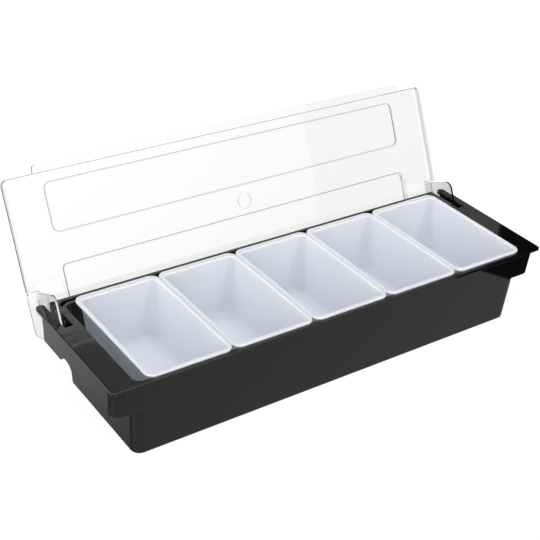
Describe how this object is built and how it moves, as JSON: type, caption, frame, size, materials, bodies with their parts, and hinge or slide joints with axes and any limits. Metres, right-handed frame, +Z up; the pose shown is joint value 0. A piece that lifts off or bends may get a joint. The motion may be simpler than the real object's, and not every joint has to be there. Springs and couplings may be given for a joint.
{
  "type": "bar garnish tray",
  "caption": "Long black garnish tray with lift-out white bucket inserts in a row and a clear lid that swings back on two ears at the rear.",
  "frame": {"origin": "on the underside of the tub, in the middle of the tray's length and width", "axes": "+X along the tray to the right as seen from the front, +Y from the front to the hinged back, +Z up"},
  "size_m": [0.495, 0.2163, 0.1897],
  "materials": {
    "black_abs": "moulded, glossy",
    "clear_san": "clear, polished mould",
    "white_polypropylene": "moulded, soft gloss"
  },
  "bodies": {
    "tray": {"tray": "black_abs"},
    "lid": {"lid": "clear_san"},
    "insert_1": {"insert_1": "white_polypropylene"},
    "insert_2": {"insert_2": "white_polypropylene"},
    "insert_3": {"insert_3": "white_polypropylene"},
    "insert_4": {"insert_4": "white_polypropylene"},
    "insert_5": {"insert_5": "white_polypropylene"}
  },
  "joints": [
    {"name": "lid_hinge", "type": "hinge", "parent": "tray", "child": "lid", "pos_m": [0, 0.0612, 0.0669], "axis": [-1, 0, 0], "range_deg": [-115.69, 0]},
    {"name": "insert_1_lift", "type": "slide", "parent": "tray", "child": "insert_1", "axis": [0, 0, 1], "range_m": [0, 0.09]},
    {"name": "insert_2_lift", "type": "slide", "parent": "tray", "child": "insert_2", "axis": [0, 0, 1], "range_m": [0, 0.09]},
    {"name": "insert_3_lift", "type": "slide", "parent": "tray", "child": "insert_3", "axis": [0, 0, 1], "range_m": [0, 0.09]},
    {"name": "insert_4_lift", "type": "slide", "parent": "tray", "child": "insert_4", "axis": [0, 0, 1], "range_m": [0, 0.09]},
    {"name": "insert_5_lift", "type": "slide", "parent": "tray", "child": "insert_5", "axis": [0, 0, 1], "range_m": [0, 0.09]}
  ]
}
